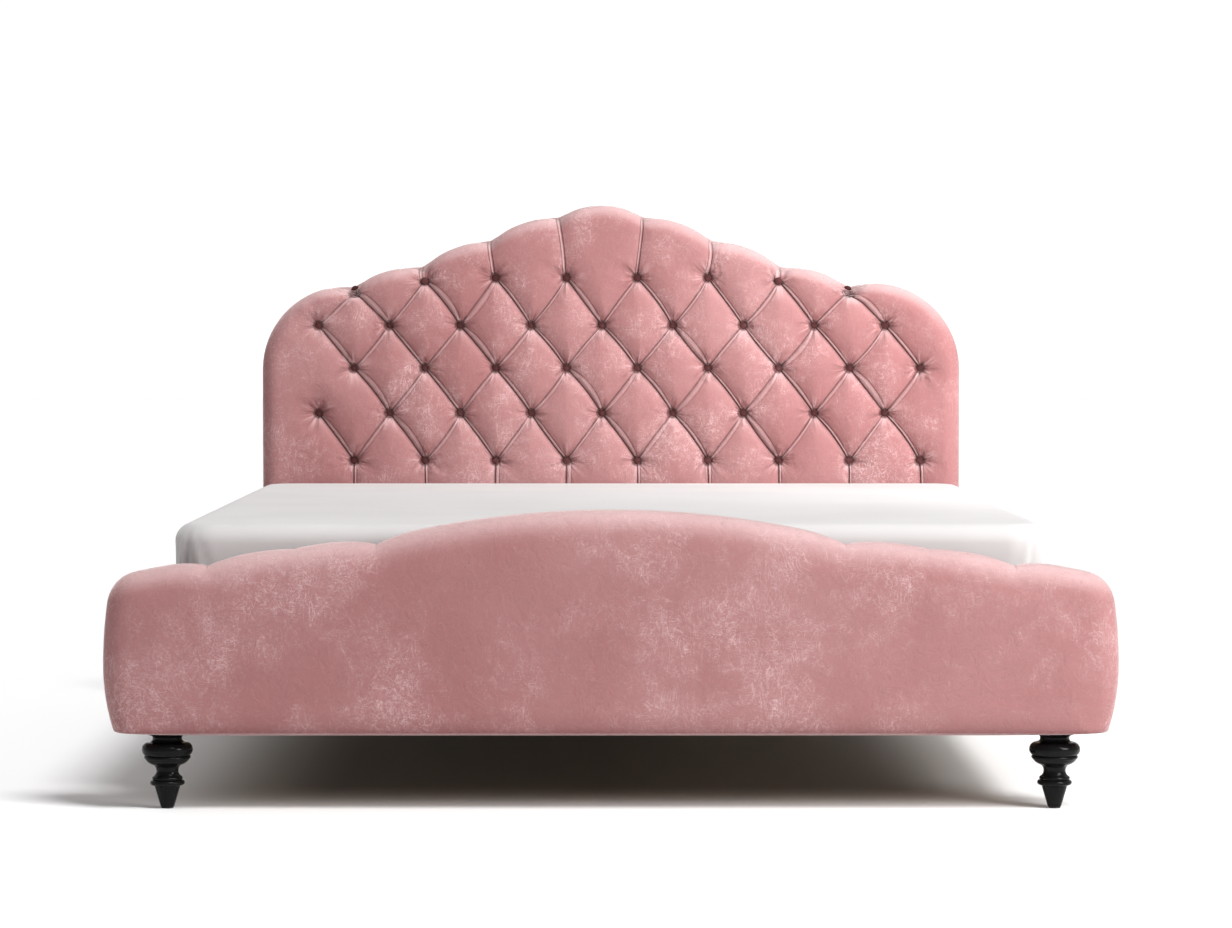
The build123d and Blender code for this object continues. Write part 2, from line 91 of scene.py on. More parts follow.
# %% Lights and floor
def studio_light(kind, name, place, aim, power, size, spread=180):
    """A soft light of a kind at place that points at aim; size is in metres, or in degrees for a sun."""
    data = bpy.data.lights.new(name, kind)
    data.energy = power
    if kind == "SUN":
        data.angle = math.radians(size)
    else:
        data.size = size
        data.spread = math.radians(spread)
    light = bpy.data.objects.new(name, data)
    light.location = place
    way = np.array(aim, float) - np.array(place, float)
    light.rotation_euler = (math.atan2(math.hypot(way[0], way[1]), -way[2]), 0, math.atan2(-way[0], way[1]))
    bpy.context.scene.collection.objects.link(light)


studio_light("SUN", "key_light", (1.9, -1.9, 4.2), (0, 0, 0), 2.6, 18)
studio_light("AREA", "side_light", (2.7, -2.8, 1.7), (0.6, -0.8, 0.5), 78, 1.2)
studio_light("AREA", "head_light", (2.6, -1.5, 1.35), (0.5, 1.1, 0.95), 12, 0.9, spread=50)

world = bpy.data.worlds.new("studio")
world.use_nodes = True
background = world.node_tree.nodes["Background"]
direction = world.node_tree.nodes.new("ShaderNodeTexCoord").outputs["Generated"]
link = world.node_tree.links.new
towards = world.node_tree.nodes.new("ShaderNodeVectorMath")
towards.operation = "DOT_PRODUCT"
towards.inputs[1].default_value = (0.10, 0.99, 0.0)
link(direction, towards.inputs[0])
lift = world.node_tree.nodes.new("ShaderNodeMath")
lift.operation = "MULTIPLY_ADD"
lift.inputs[1].default_value = 0.24
lift.inputs[2].default_value = 0.46
link(towards.outputs["Value"], lift.inputs[0])
backdrop = world.node_tree.nodes.new("ShaderNodeMapRange")
backdrop.interpolation_type = "SMOOTHSTEP"
backdrop.inputs["From Min"].default_value = 0.90
backdrop.inputs["From Max"].default_value = 0.965
backdrop.inputs["To Max"].default_value = 0.40
link(towards.outputs["Value"], backdrop.inputs["Value"])
both = world.node_tree.nodes.new("ShaderNodeMath")
link(lift.outputs[0], both.inputs[0])
link(backdrop.outputs[0], both.inputs[1])
link(both.outputs[0], background.inputs["Strength"])
background.inputs["Color"].default_value = (1, 1, 1, 1)
bpy.context.scene.world = world
bpy.context.scene.view_settings.view_transform = "Standard"

bpy.ops.mesh.primitive_plane_add(size=80, location=(0, 0, 0))
floor = bpy.context.object
floor.name = "studio_floor"
floor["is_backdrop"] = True
print("studio ready")

# %% [markdown]
# ## Shader maths as plain expressions
# Each finish is a node tree. A small class wraps a socket, so that a mask can be written as
# `patches * 0.6 + strokes`, and one method adds any other node by its type.


# %% Sockets with operators
def operator(operation, reflected=False):
    """A method that adds one Math node for a Python operator."""
    def apply(self, other=0.0):
        first, second = (other, self) if reflected else (self, other)
        return self.maths(operation, first, second)
    return apply


class Socket:
    """A node socket that adds Math nodes when it is used in an expression."""

    def __init__(self, tree, socket):
        self.tree = tree
        self.socket = socket

    def maths(self, operation, first, second):
        node = self.tree.nodes.new("ShaderNodeMath")
        node.operation = operation
        for slot, value in zip(node.inputs, (first, second)):
            if isinstance(value, Socket):
                self.tree.links.new(value.socket, slot)
            else:
                slot.default_value = value
        return Socket(self.tree, node.outputs[0])

    __add__ = operator("ADD")
    __radd__ = operator("ADD", True)
    __sub__ = operator("SUBTRACT")
    __rsub__ = operator("SUBTRACT", True)
    __mul__ = operator("MULTIPLY")
    __rmul__ = operator("MULTIPLY", True)
    __truediv__ = operator("DIVIDE")
    __rtruediv__ = operator("DIVIDE", True)
    __pow__ = operator("POWER")
    __abs__ = operator("ABSOLUTE")


class Finish:
    """One material: a Principled shader and the nodes that feed it."""

    def __init__(self, name, **fixed):
        self.material = bpy.data.materials.new(name)
        self.material.use_nodes = True
        self.tree = self.material.node_tree
        self.shader = self.tree.nodes["Principled BSDF"]
        for socket, value in fixed.items():
            self.shader.inputs[socket.replace("_", " ")].default_value = value
        self.place = self.node("ShaderNodeTexCoord", out="Object")

    def node(self, kind, settings=None, out=0, **inputs):
        """Adds a node: its settings first, then the values or links of its sockets."""
        node = self.tree.nodes.new(kind)
        for key, value in (settings or {}).items():
            if key == "stops":
                for element, (position, colour) in zip(node.color_ramp.elements, value):
                    element.position = position
                    element.color = colour
            else:
                setattr(node, key, value)
        for key, value in inputs.items():
            slot = node.inputs[int(key[1:]) if key[1:].isdigit() else key.replace("_", " ")]
            if isinstance(value, Socket):
                self.tree.links.new(value.socket, slot)
            else:
                slot.default_value = value
        return Socket(self.tree, node.outputs[out])

    def noise(self, scale, detail=4, distortion=0, stretch=None, roughness=0.5):
        """Cloudy noise on the piece's own coordinates, drawn out by stretch."""
        place = self.place
        if stretch:
            place = self.node("ShaderNodeMapping", Vector=place, Scale=stretch)
        return self.node("ShaderNodeTexNoise", Vector=place, Scale=scale, Detail=detail,
                         Distortion=distortion, Roughness=roughness)

    def band(self, value, low, high):
        """Value remapped so that low becomes 0 and high becomes 1, with soft ends."""
        return self.node("ShaderNodeMapRange", {"interpolation_type": "SMOOTHSTEP"}, Value=value,
                         From_Min=low, From_Max=high)

    def blend(self, factor, first, second):
        """A colour between first and second."""
        return self.node("ShaderNodeMix", {"data_type": "RGBA"}, out=2, _0=factor, _6=first, _7=second)

    def feed(self, **sockets):
        """Links what varies over the surface into the shader."""
        for name, value in sockets.items():
            self.tree.links.new(value.socket, self.shader.inputs[name.replace("_", " ")])
        return self

    def attribute(self, name):
        """The three numbers of a vector that the mesh carries on each point."""
        vector = self.node("ShaderNodeAttribute", {"attribute_name": name}, out="Vector")
        return [self.node("ShaderNodeSeparateXYZ", out=axis, Vector=vector) for axis in "XYZ"]

    def relief(self, height):
        """Surface relief from a height in metres."""
        normal = self.node("ShaderNodeBump", Height=height, Strength=1.0, Distance=1.0)
        return self.feed(Normal=normal)


# %% [markdown]
# ## Crushed velvet
# Velvet's pile lies in patches, brushed this way and that, so it is a dusty pink with lighter clouds
# whose edges break up into fine hair-like strokes. A sheen lobe brightens it where the surface turns
# away, and a painted highlight lightens a top edge while painted shade darkens an underside. Where it is
# pleated, the mesh carries how far each point is from the nearest pleat, and the finish turns that into a
# dark line of painted shade with a rolled lip beside it, in bump and painted highlight. The same goes for
# the fine wrinkles that gather at a button, and painted shade darkens the pit round each button.


# %% Velvet
# The dark red that paints shade into creases, the dark sides of button wrinkles and the pits round buttons.
PAINTED_SHADE = (0.055, 0.014, 0.015, 1)


def velvet(name, dark, light, pale, pleats=(), buttoned=False, painted_light_facing=False, sheen=0.9):
    """Crushed velvet between a dark and a light tone, with pale brushed strokes and its pleats."""
    cloth = Finish(name, Roughness=0.8, Sheen_Weight=sheen, Sheen_Roughness=0.32,
                   Sheen_Tint=(1.0, 0.83, 0.82, 1), Specular_IOR_Level=0.15)
    clouds = cloth.band(cloth.noise(5.0, 10, 0.15, None, 0.72), 0.44, 0.66)
    haze = cloth.band(cloth.noise(1.9, 3), 0.35, 0.65)
    speckle = cloth.band(cloth.noise(130, 6, 0.8, None, 0.7), 0.40, 0.62)
    one_way = cloth.noise(26, 5, 2.4, (1.0, 1.0, 0.45), 0.6)
    other_way = cloth.noise(33, 5, 2.0, (0.5, 1.0, 1.0), 0.6)
    hairs = cloth.band(abs(one_way - 0.5), 0.019, 0.0) + cloth.band(abs(other_way - 0.5), 0.016, 0.0)
    brushed = clouds * (speckle * 0.22 + 0.08) + hairs * (clouds * 0.62 + 0.10)
    ground = cloth.blend(haze * 0.55, dark, light)
    colour = cloth.blend(brushed, ground, pale)
    if painted_light_facing:
        # Painted highlight on upward faces and painted shade on downward faces, from which way each point
        # faces.
        upward = cloth.attribute("painted_light_facing")[2]
        colour = cloth.blend(cloth.band(upward, 0.15, 0.95) * 0.55, colour, (0.70, 0.50, 0.50, 1))
        colour = cloth.blend(cloth.band(upward, -0.05, -0.75) * 0.55, colour, (0.20, 0.075, 0.075, 1))
    height = cloth.noise(800, 3) * 0.0003 + cloth.noise(40, 5, 1.5) * 0.0016 + hairs * 0.0002
    for pleat in pleats:
        side, gap, mark = cloth.attribute(pleat)
        crease = cloth.band(abs(side), 0.0034, 0.0) * mark
        second = cloth.band(abs(side - gap), 0.0022, 0.0) * mark
        lip = cloth.band(abs(side - gap * 0.5) / (gap * 0.5 + 0.001), 1.0, 0.0) * mark
        # Painted highlight on each pleat's rolled lip and painted shade along its crease, beside the bump.
        colour = cloth.blend(lip * 0.60, colour, pale)
        colour = cloth.blend(crease * 0.80 + second * 0.40, colour, PAINTED_SHADE)
        height = height + lip * 0.0028 - crease * 0.0030 - second * 0.0012
    if buttoned:
        across, up, fade = cloth.attribute("from_button")
        reach = (across * across + up * up) ** 0.5
        turn = cloth.noise(2.5, 0) * 9 + reach * 5
        around = cloth.node("ShaderNodeCombineXYZ", X=across / reach, Y=up / reach, Z=turn)
        rays = cloth.node("ShaderNodeTexNoise", Vector=around, Scale=2.6, Detail=2.0)
        height = height + (rays - 0.5) * fade * 0.0085
        # Painted shade on the dark sides of the wrinkles round a button, and a painted highlight on their
        # light sides.
        colour = cloth.blend(cloth.band(rays, 0.50, 0.36) * fade * 0.35, colour, PAINTED_SHADE)
        colour = cloth.blend(cloth.band(rays, 0.56, 0.68) * fade * 0.45, colour, pale)
        # Painted shade in the pit round each button.
        pit_shade = cloth.band(reach, 0.0165, 0.011) * cloth.band(fade, 0, 0.5)
        colour = cloth.blend(pit_shade * 0.75, colour, PAINTED_SHADE)
    cloth.feed(Base_Color=colour)
    return cloth.relief(height).material


TONES = ((0.308, 0.132, 0.132, 1), (0.386, 0.196, 0.196, 1), (0.575, 0.375, 0.375, 1))
plain_velvet = velvet("plain_velvet", *TONES)
footboard_velvet = velvet("footboard_velvet", *TONES, pleats=["upright"], painted_light_facing=True)
buttoned_velvet = velvet("buttoned_velvet", *TONES, pleats=["falling", "rising", "upright"], buttoned=True,
                         painted_light_facing=True, sheen=0.6)
button_velvet = velvet("button_velvet", (0.060, 0.017, 0.017, 1), (0.085, 0.025, 0.025, 1),
                       (0.15, 0.06, 0.06, 1), sheen=0.3)

# %% [markdown]
# ## Cotton, lacquer, timber and steel
# The sheet is a fine plain weave, so its bump is two crossed waves far smaller than a fold. The legs are
# black lacquer: a dark base under a clear coat, with very slight ripples. Timber is drawn-out noise along
# its length.


# %% Other finishes
def cotton(name, colour, shade):
    """A plain weave, nearly even in colour."""
    cloth = Finish(name, Roughness=0.9, Sheen_Weight=0.15, Specular_IOR_Level=0.2)
    tone = cloth.band(cloth.noise(3, 3), 0.3, 0.7)
    cloth.feed(Base_Color=cloth.blend(tone, colour, shade))
    threads = cloth.noise(1200, 1, 0, (1, 1, 0.4)) + cloth.noise(1200, 1, 0, (0.4, 1, 1))
    return cloth.relief(threads * 0.0001 + cloth.noise(7, 3) * 0.0012).material


def timber(name, dark, light, along, rough=0.6):
    """Planed wood whose grain runs along one axis."""
    wood = Finish(name, Specular_IOR_Level=0.35)
    stretch = tuple(1.2 if axis == along else 16.0 for axis in "xyz")
    rings = wood.noise(2.2, 6, 0.9, stretch, 0.6)
    wood.feed(Base_Color=wood.blend(wood.band(rings, 0.32, 0.68), dark, light))
    wood.feed(Roughness=rings * 0.2 + (rough - 0.1))
    return wood.relief(rings * 0.0004).material


def metal(name, colour, shade, metallic, rough):
    """Coated or plated steel with a faint mottle."""
    steel = Finish(name, Metallic=metallic)
    mottle = steel.noise(130, 4)
    steel.feed(Base_Color=steel.blend(mottle, colour, shade), Roughness=mottle * 0.2 + rough)
    return steel.relief(mottle * 0.00005).material


def lacquer():
    """Deep gloss black on turned wood."""
    gloss = Finish("black_lacquer", Coat_Weight=0.05, Coat_Roughness=0.06, Specular_IOR_Level=0.07)
    ripple = gloss.noise(24, 2)
    gloss.feed(Base_Color=gloss.blend(ripple, (0.004, 0.004, 0.004, 1), (0.009, 0.009, 0.009, 1)))
    gloss.feed(Roughness=ripple * 0.10 + 0.14)
    return gloss.relief(ripple * 0.0001).material


def felted(name, dark, light, scale):
    """Matted fibre: felt, lining cloth or foam."""
    fibre = Finish(name, Roughness=0.95, Specular_IOR_Level=0.1)
    fuzz = fibre.noise(scale, 5, 0.6)
    fibre.feed(Base_Color=fibre.blend(fibre.band(fuzz, 0.3, 0.7), dark, light))
    return fibre.relief(fuzz * 0.0003).material


finishes = {
    "velvet": plain_velvet,
    "button_velvet": button_velvet,
    "foam": felted("foam", (0.70, 0.64, 0.45, 1), (0.82, 0.77, 0.60, 1), 420),
    "mattress_ticking": cotton("ticking", (0.80, 0.80, 0.79, 1), (0.74, 0.74, 0.73, 1)),
    "sheet_cotton": cotton("sheet_cotton", (0.56, 0.547, 0.543, 1), (0.53, 0.517, 0.513, 1)),
    "lining_cloth": felted("lining_cloth", (0.012, 0.012, 0.013, 1), (0.03, 0.03, 0.032, 1), 700),
    "black_lacquer": lacquer(),
    "felt": felted("felt", (0.03, 0.03, 0.03, 1), (0.07, 0.07, 0.07, 1), 600),
    "bracket_steel": metal("bracket_steel", (0.02, 0.02, 0.021, 1), (0.035, 0.035, 0.036, 1), 0.2, 0.4),
    "zinc_fastener": metal("zinc_fastener", (0.60, 0.60, 0.57, 1), (0.48, 0.48, 0.47, 1), 1.0, 0.25),
    "levelling_foot": metal("levelling_foot", (0.02, 0.02, 0.02, 1), (0.03, 0.03, 0.03, 1), 0.0, 0.45),
    "plywood": timber("plywood", (0.45, 0.28, 0.14, 1), (0.62, 0.43, 0.24, 1), "x"),
    "pine": timber("pine", (0.50, 0.31, 0.15, 1), (0.68, 0.48, 0.27, 1), "x"),
}
pine_along = timber("pine_along", (0.50, 0.31, 0.15, 1), (0.68, 0.48, 0.27, 1), "y")
pine_upright = timber("pine_upright", (0.50, 0.31, 0.15, 1), (0.68, 0.48, 0.27, 1), "z")


def studio_floor():
    """A white floor with a painted shadow under the bed, where the studio's fill light does not reach."""
    ground = Finish("studio_floor", Roughness=0.95, Specular_IOR_Level=0.1)
    x, y = [ground.node("ShaderNodeSeparateXYZ", out=axis, Vector=ground.place) for axis in "XY"]
    # Painted shadow: the floor's colour darkens under the bed.
    under = ground.band(abs(x), 0.98, 0.55) * ground.band(abs(y), 1.12, 0.72)
    ground.feed(Base_Color=ground.blend(under, (0.875, 0.875, 0.875, 1), (0.22, 0.21, 0.21, 1)))
    return ground.material


floor.data.materials.append(studio_floor())

long_timber = ("rail_board_left", "rail_board_right", "slat_ledge_left", "slat_ledge_right", "centre_rail")
tall_timber = ("headboard_post_left", "headboard_post_right", "centre_leg")
for entry in frame["record"]["subparts"]:
    node_name = entry["node"]
    finish = finishes[entry["material_slot"]]
    if node_name in long_timber:
        finish = pine_along
    if node_name in tall_timber:
        finish = pine_upright
    slots = nodes[node_name].data.materials
    slots.clear()
    slots.append(finish)
print("finishes:", sorted(finishes))

# %% [markdown]
# ## Tools for cloth bodies
# A padded body starts as a flat board cut to its outline with rounded edges. A voxel remesh then turns
# it into even small quads, which can be pushed about one by one like clay.


# %% Arcs and slabs
def spin(vector, angle):
    """A vector in the plane, turned by an angle."""
    return (vector[0] * math.cos(angle) - vector[1] * math.sin(angle),
            vector[0] * math.sin(angle) + vector[1] * math.cos(angle))


def tangent_arc(start, way, end, count=12):
    """Points of the arc that leaves start along way and reaches end, and its last direction."""
    start, way, end = (np.array(v, float) for v in (start, way, end))
    way = way / np.linalg.norm(way)
    chord = end - start
    across = np.array((-way[1], way[0]))
    side = chord @ across
    if abs(side) < 1e-6:
        return [tuple(start + chord * step / count) for step in range(1, count + 1)], way
    radius = chord @ chord / (2 * side)
    centre = start + across * radius
    turn = 2 * math.atan2(chord @ across, chord @ way)
    points = [tuple(centre + spin(start - centre, turn * step / count)) for step in range(1, count + 1)]
    return points, spin(way, turn)


def bowed(start, end, rise, count=12):
    """Points of a shallow arc from start to end that bulges to the left of its way by rise."""
    start, end = np.array(start, float), np.array(end, float)
    chord = end - start
    half_angle = 2 * math.atan2(rise, np.linalg.norm(chord) / 2)
    return tangent_arc(start, spin(chord, half_angle), end, count)[0]


def new_object(name, mesh, finish):
    """A smooth-shaded object at the origin with one finish."""
    obj = bpy.data.objects.new(name, mesh)
    bpy.context.scene.collection.objects.link(obj)
    mesh.materials.clear()
    mesh.materials.append(finish)
    mesh.shade_smooth()
    return obj


def baked(obj):
    """Replaces an object's mesh by what its modifiers make of it."""
    graph = bpy.context.evaluated_depsgraph_get()
    graph.update()
    mesh = bpy.data.meshes.new_from_object(obj.evaluated_get(graph))
    obj.modifiers.clear()
    obj.data = mesh
    mesh.shade_smooth()
    return obj


def loft(name, rings, finish, caps=(True, True)):
    """A skin over a row of rings of points, closed at the ends that caps names."""
    bm = bmesh.new()
    loops = [[bm.verts.new(point) for point in ring] for ring in rings]
    count = len(loops[0])
    for first, second in zip(loops, loops[1:]):
        for i in range(count):
            j = (i + 1) % count
            bm.faces.new((first[i], first[j], second[j], second[i]))
    for cap, loop in zip(caps, (loops[0], loops[-1])):
        if cap:
            bm.faces.new(loop)
    bmesh.ops.recalc_face_normals(bm, faces=bm.faces)
    mesh = bpy.data.meshes.new(name)
    bm.to_mesh(mesh)
    bm.free()
    return new_object(name, mesh, finish)


def inset(outline, depth):
    """The outline drawn in by depth at its sides and top. Its two ends stay on the bottom line."""
    ring = []
    for i, (x, z) in enumerate(outline):
        if i in (0, len(outline) - 1):
            ring.append((x - math.copysign(depth, x), z))
            continue
        before = np.subtract(outline[i], outline[i - 1])
        after = np.subtract(outline[i + 1], outline[i])
        before, after = before / np.linalg.norm(before), after / np.linalg.norm(after)
        inward = np.array((-before[1] - after[1], before[0] + after[0]))
        inward /= np.linalg.norm(inward)
        slant = max(inward @ (-before[1], before[0]), 0.6)
        ring.append((x + inward[0] * depth / slant, z + inward[1] * depth / slant))
    return ring


def cut_away(body, cutter):
    """Cuts one closed mesh out of another and throws the cutter away."""
    cut = body.modifiers.new("cut", "BOOLEAN")
    cut.operation = "DIFFERENCE"
    cut.solver = "MANIFOLD"
    cut.object = cutter
    baked(body)
    bpy.data.objects.remove(cutter)
    slots = body.data.materials
    while len(slots) > 1:
        slots.pop()


def slab(name, outline, y_front, y_back, round_front, round_back, finish, cutter=None, voxel=0.006):
    """An outline in x and z as a thick board with rolled rims, remeshed into even quads."""
    rings = []
    for y, size, way in ((y_front, round_front, 1), (y_back, round_back, -1)):
        roll = []
        for step in range(11 if size else 1):
            angle = math.radians(9 * step)
            drawn = inset(outline, size * (1 - math.sin(angle)))
            roll.append([(x, y + way * size * (1 - math.cos(angle)), z) for x, z in drawn])
        rings += roll if way > 0 else list(reversed(roll))
    body = loft(name, rings, finish)
    if cutter:
        cut_away(body, cutter)
    remesh = body.modifiers.new("even", "REMESH")
    remesh.mode = "VOXEL"
    remesh.voxel_size = voxel
    relax = body.modifiers.new("relax", "SMOOTH")
    relax.iterations = 6
    relax.factor = 0.5
    baked(body)
    body.data.materials.clear()
    body.data.materials.append(finish)
    print(name, len(body.data.polygons), "quads")
    return body


def cutter_box(low, high):
    """A box that only serves to cut another piece."""
    bm = bmesh.new()
    bmesh.ops.create_cube(bm, size=1)
    for v in bm.verts:
        v.co = [a + (b - a) * (c + 0.5) for a, b, c in zip(low, high, v.co)]
    mesh = bpy.data.meshes.new("cutter")
    bm.to_mesh(mesh)
    bm.free()
    return new_object("cutter", mesh, finishes["foam"])


def read_points(mesh):
    """A mesh's points and its point normals as arrays."""
    points = np.empty(len(mesh.vertices) * 3)
    mesh.vertices.foreach_get("co", points)
    normals = np.empty(len(mesh.vertices) * 3)
    mesh.vertex_normals.foreach_get("vector", normals)
    return points.reshape(-1, 3), normals.reshape(-1, 3)


def write_points(mesh, points):
    """Puts moved points back into a mesh."""
    mesh.vertices.foreach_set("co", points.ravel())
    mesh.update()


def smoothstep(value, low, high):
    """0 below low, 1 above high and a soft rise between."""
    t = np.clip((value - low) / (high - low), 0, 1)
    return t * t * (3 - 2 * t)


# %% [markdown]
# ## The buttoned headboard
# On the real headboard the velvet is laid over thick foam and pulled down to the board by twine at
# every button. The spare cloth between the buttons is tucked into folds along the diagonals. So the
# field of buttons is a staggered lattice, every diagonal between two buttons is a fold, and above the
# top row and below the bottom row the folds run straight to the edge. The puffed diamonds then follow by
# themselves: the cloth rises smoothly with the distance from the nearest fold.

# %% Headboard places
head_low, head_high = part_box("headboard_cover")
HALF = head_high[0]
CROWN = head_high[2]
LATTICE_X = -0.025
PITCH = (2 * HALF - 0.34) / 8
ROW_Z = (1.096, 0.973, 0.863, 0.747, 0.624)
TOP_ROW_DROP = {3.5: 0.031, 2.5: 0.008}
SEAM_DROP = (0.028, 0.089, 0.157, 0.209)
CUSHION_BOTTOM = 0.337


def seam(k, side):
    """Where the k-th seam from the crown meets the top edge."""
    return (LATTICE_X + side * ((k + 0.5) * PITCH + 0.019 * (1 - k / 4)), CROWN - SEAM_DROP[k])


def headboard_outline():
    """The headboard's rim from the lower right corner over the top to the lower left."""
    seams = [seam(k, 1) for k in (3, 2, 1, 0)] + [seam(k, -1) for k in (0, 1, 2, 3)]
    points = [(HALF, CUSHION_BOTTOM), (HALF, 0.86)]
    points += tangent_arc((HALF, 0.86), (0, 1), seams[0], 18)[0]
    for number, (start, end) in enumerate(zip(seams, seams[1:])):
        points += bowed(start, end, -0.028 if number == 3 else -0.013, 12)
    left = tangent_arc((-HALF, 0.86), (0, 1), seams[-1], 18)[0]
    points += list(reversed(left[:-1])) + [(-HALF, 0.86), (-HALF, CUSHION_BOTTOM)]
    return points


buttons = {}
for row, z in enumerate(ROW_Z):
    steps = range(-4, 5) if row % 2 else [k - 3.5 for k in range(8 if row == 0 else 9)]
    for step in steps:
        drop = TOP_ROW_DROP.get(abs(step), 0) if row == 0 else 0
        buttons[row, step] = (LATTICE_X + step * PITCH, z - drop)
print(len(buttons), "headboard buttons")

# %% Pleats between the buttons
chance = np.random.default_rng(7)
pleats = []


def add_pleat(kind, start, end, depth):
    """Notes a pleat with its own slight bow and its own width."""
    bow = chance.uniform(-0.005, 0.004)
    width = chance.uniform(0.007, 0.011) if chance.random() < 0.7 else chance.uniform(0.012, 0.020)
    pleats.append((kind, start, end, depth, bow, width))


for (row, step), place in buttons.items():
    for way, kind, depth in ((0.5, "falling", 0.020), (-0.5, "rising", 0.0145)):
        partner = buttons.get((row + 1, step + way))
        if partner and (row, step, way) != (2, -3.5, -0.5):
            add_pleat(kind, place, partner, depth)
for k in range(4):
    for side in (-1, 1):
        top = seam(k, side)
        add_pleat("upright", buttons[0, side * (k + 0.5)], top, 0.011)
        pleats.append(("upright", top, (top[0], top[1] + 0.2), 0.011, 0.0, 0.006))
for step in [k - 3.5 for k in range(9)]:
    x, z = buttons[4, step]
    add_pleat("upright", (x, z), (x, z - 0.4), 0.011)
print(len(pleats), "pleats")


# %% Pull the velvet in
def to_segment(points, start, end):
    """Each point's distance to a segment, the side it is on and how far along it is."""
    start, end = np.array(start), np.array(end)
    chord = end - start
    length = np.linalg.norm(chord)
    reach = points - start
    along = np.clip(reach @ chord / length ** 2, 0, 1)
    gap = reach - along[:, None] * chord
    side = (chord[0] * reach[:, 1] - chord[1] * reach[:, 0]) / length
    return np.hypot(gap[:, 0], gap[:, 1]), side, along


def carry(mesh, name, vectors):
    """Stores a vector on each point of a mesh for its finish to read."""
    layer = mesh.attributes.new(name, "FLOAT_VECTOR", "POINT")
    layer.data.foreach_set("vector", np.ascontiguousarray(vectors, np.float32).ravel())


def carry_painted_light_facing(mesh):
    """Stores which way each point faces, for the painted highlight on top edges and the painted shade on
    undersides.
    """
    carry(mesh, "painted_light_facing", read_points(mesh)[1])


PLEAT_REACH = 0.073
PLEAT_MARK = 0.030
HEAD_ROLL = 0.045
SIDE_PAD = 0.021
STRENGTH = {"falling": 1.0, "rising": 0.55, "upright": 0.75}
rim = headboard_outline()
head_cushion = slab("headboard_cushion", rim, head_low[1], head_high[1], HEAD_ROLL, 0, buttoned_velvet,
                    voxel=0.005)
points, normals = read_points(head_cushion.data)
flat = points[:, [0, 2]]
front = 1 - smoothstep(points[:, 1], head_low[1] + 0.030, head_low[1] + 0.085)
lifted = 1 - smoothstep(points[:, 1], head_low[1] + 0.100, head_low[1] + 0.125)
total = np.zeros(len(points))
# Each pleat's record drives its bump, the painted shade along its crease and the painted highlight on its
# lip.
for kind in ("falling", "rising", "upright"):
    nearest = np.full(len(points), 1.0)
    record = np.tile((1.0, 0.006, 0.0), (len(points), 1))
    for own, start, end, depth, bow, width in pleats:
        if own != kind:
            continue
        distance, side, along = to_segment(flat, start, end)
        bulge = np.sin(math.pi * along)
        bowed_side = side + bow * bulge
        close = np.hypot(np.maximum(distance - np.abs(side), 0), bowed_side)
        slope = 0.72 * np.clip(1 - close / PLEAT_REACH, 0, 1) ** 2 + 0.28 * np.exp(-close / 0.009)
        total += (depth * slope * (distance < PLEAT_REACH)) ** 8
        twin = 0.003 + (width - 0.003) * (bulge ** 0.6 if kind != "upright" else 0.7 + 0 * bulge)
        overshoot = np.sqrt(np.maximum(distance ** 2 - side ** 2, 0))
        fade = smoothstep(PLEAT_MARK - distance, 0, 0.012) * (1 - smoothstep(overshoot, 0.003, 0.012))
        fade *= STRENGTH[kind]
        closer = (distance < nearest) & (distance < PLEAT_MARK + 0.002)
        nearest = np.where(closer, distance, nearest)
        record[closer] = np.stack([bowed_side, twin, fade], 1)[closer]
    record[:, 2] *= lifted if kind == "upright" else front
    carry(head_cushion.data, kind, record)
depth = total ** 0.125
pull = np.zeros(len(points))
nearest = np.full(len(points), 1.0)
home = np.zeros((len(points), 3))
for (row, step), (x, z) in buttons.items():
    gap = flat - (x, z)
    distance = np.hypot(gap[:, 0], gap[:, 1])
    share = 0.25 if row == 0 and abs(step) > 3 else 1.0
    pit = 0.010 * np.exp(-(distance / 0.017) ** 2) + 0.005 * np.exp(-(distance / 0.045) ** 2)
    pull = np.maximum(pull, share * pit)
    closer = distance < nearest
    nearest = np.where(closer, distance, nearest)
    home[closer, :2] = gap[closer]
# The third value fades the button wrinkles' bump, their painted shade and highlights, and the pit's painted
# shade.
home[:, 2] = (1 - smoothstep(nearest, 0.016, 0.060)) * front
carry(head_cushion.data, "from_button", home)
over_top = smoothstep(points[:, 2], 1.0, 1.06)
moved = depth * np.maximum(front, over_top * lifted * 0.8) + pull * front
points -= normals * moved[:, None]
points[:, 1] = np.maximum(points[:, 1], head_low[1])
write_points(head_cushion.data, points)
carry_painted_light_facing(head_cushion.data)
print("headboard pulled in by up to", round(float(moved.max()) * 1000), "mm")

# %% Room for the board
bpy.context.view_layer.update()
board_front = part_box("headboard_board")[0][1]
hollow = inset(rim, SIDE_PAD)
hollow = [(hollow[0][0], 0.2)] + hollow[1:-1] + [(hollow[-1][0], 0.2)]
cutter_ends = (board_front, head_high[1] + 0.1)
cutter = loft("cutter", [[(x, y, z) for x, z in hollow] for y in cutter_ends], plain_velvet)
cut_away(head_cushion, cutter)
print("headboard cushion", len(head_cushion.data.polygons), "faces after the cut")
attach(head_cushion, "bed_frame")
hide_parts("headboard_cover", "headboard_foam")

# %% [markdown]
# ## Covered buttons
# A covered button is a shallow dome with a rim that tucks under. One is turned as a small mesh, and a
# Geometry Nodes tree sets a copy on every point of the lattice, with its size as an input.


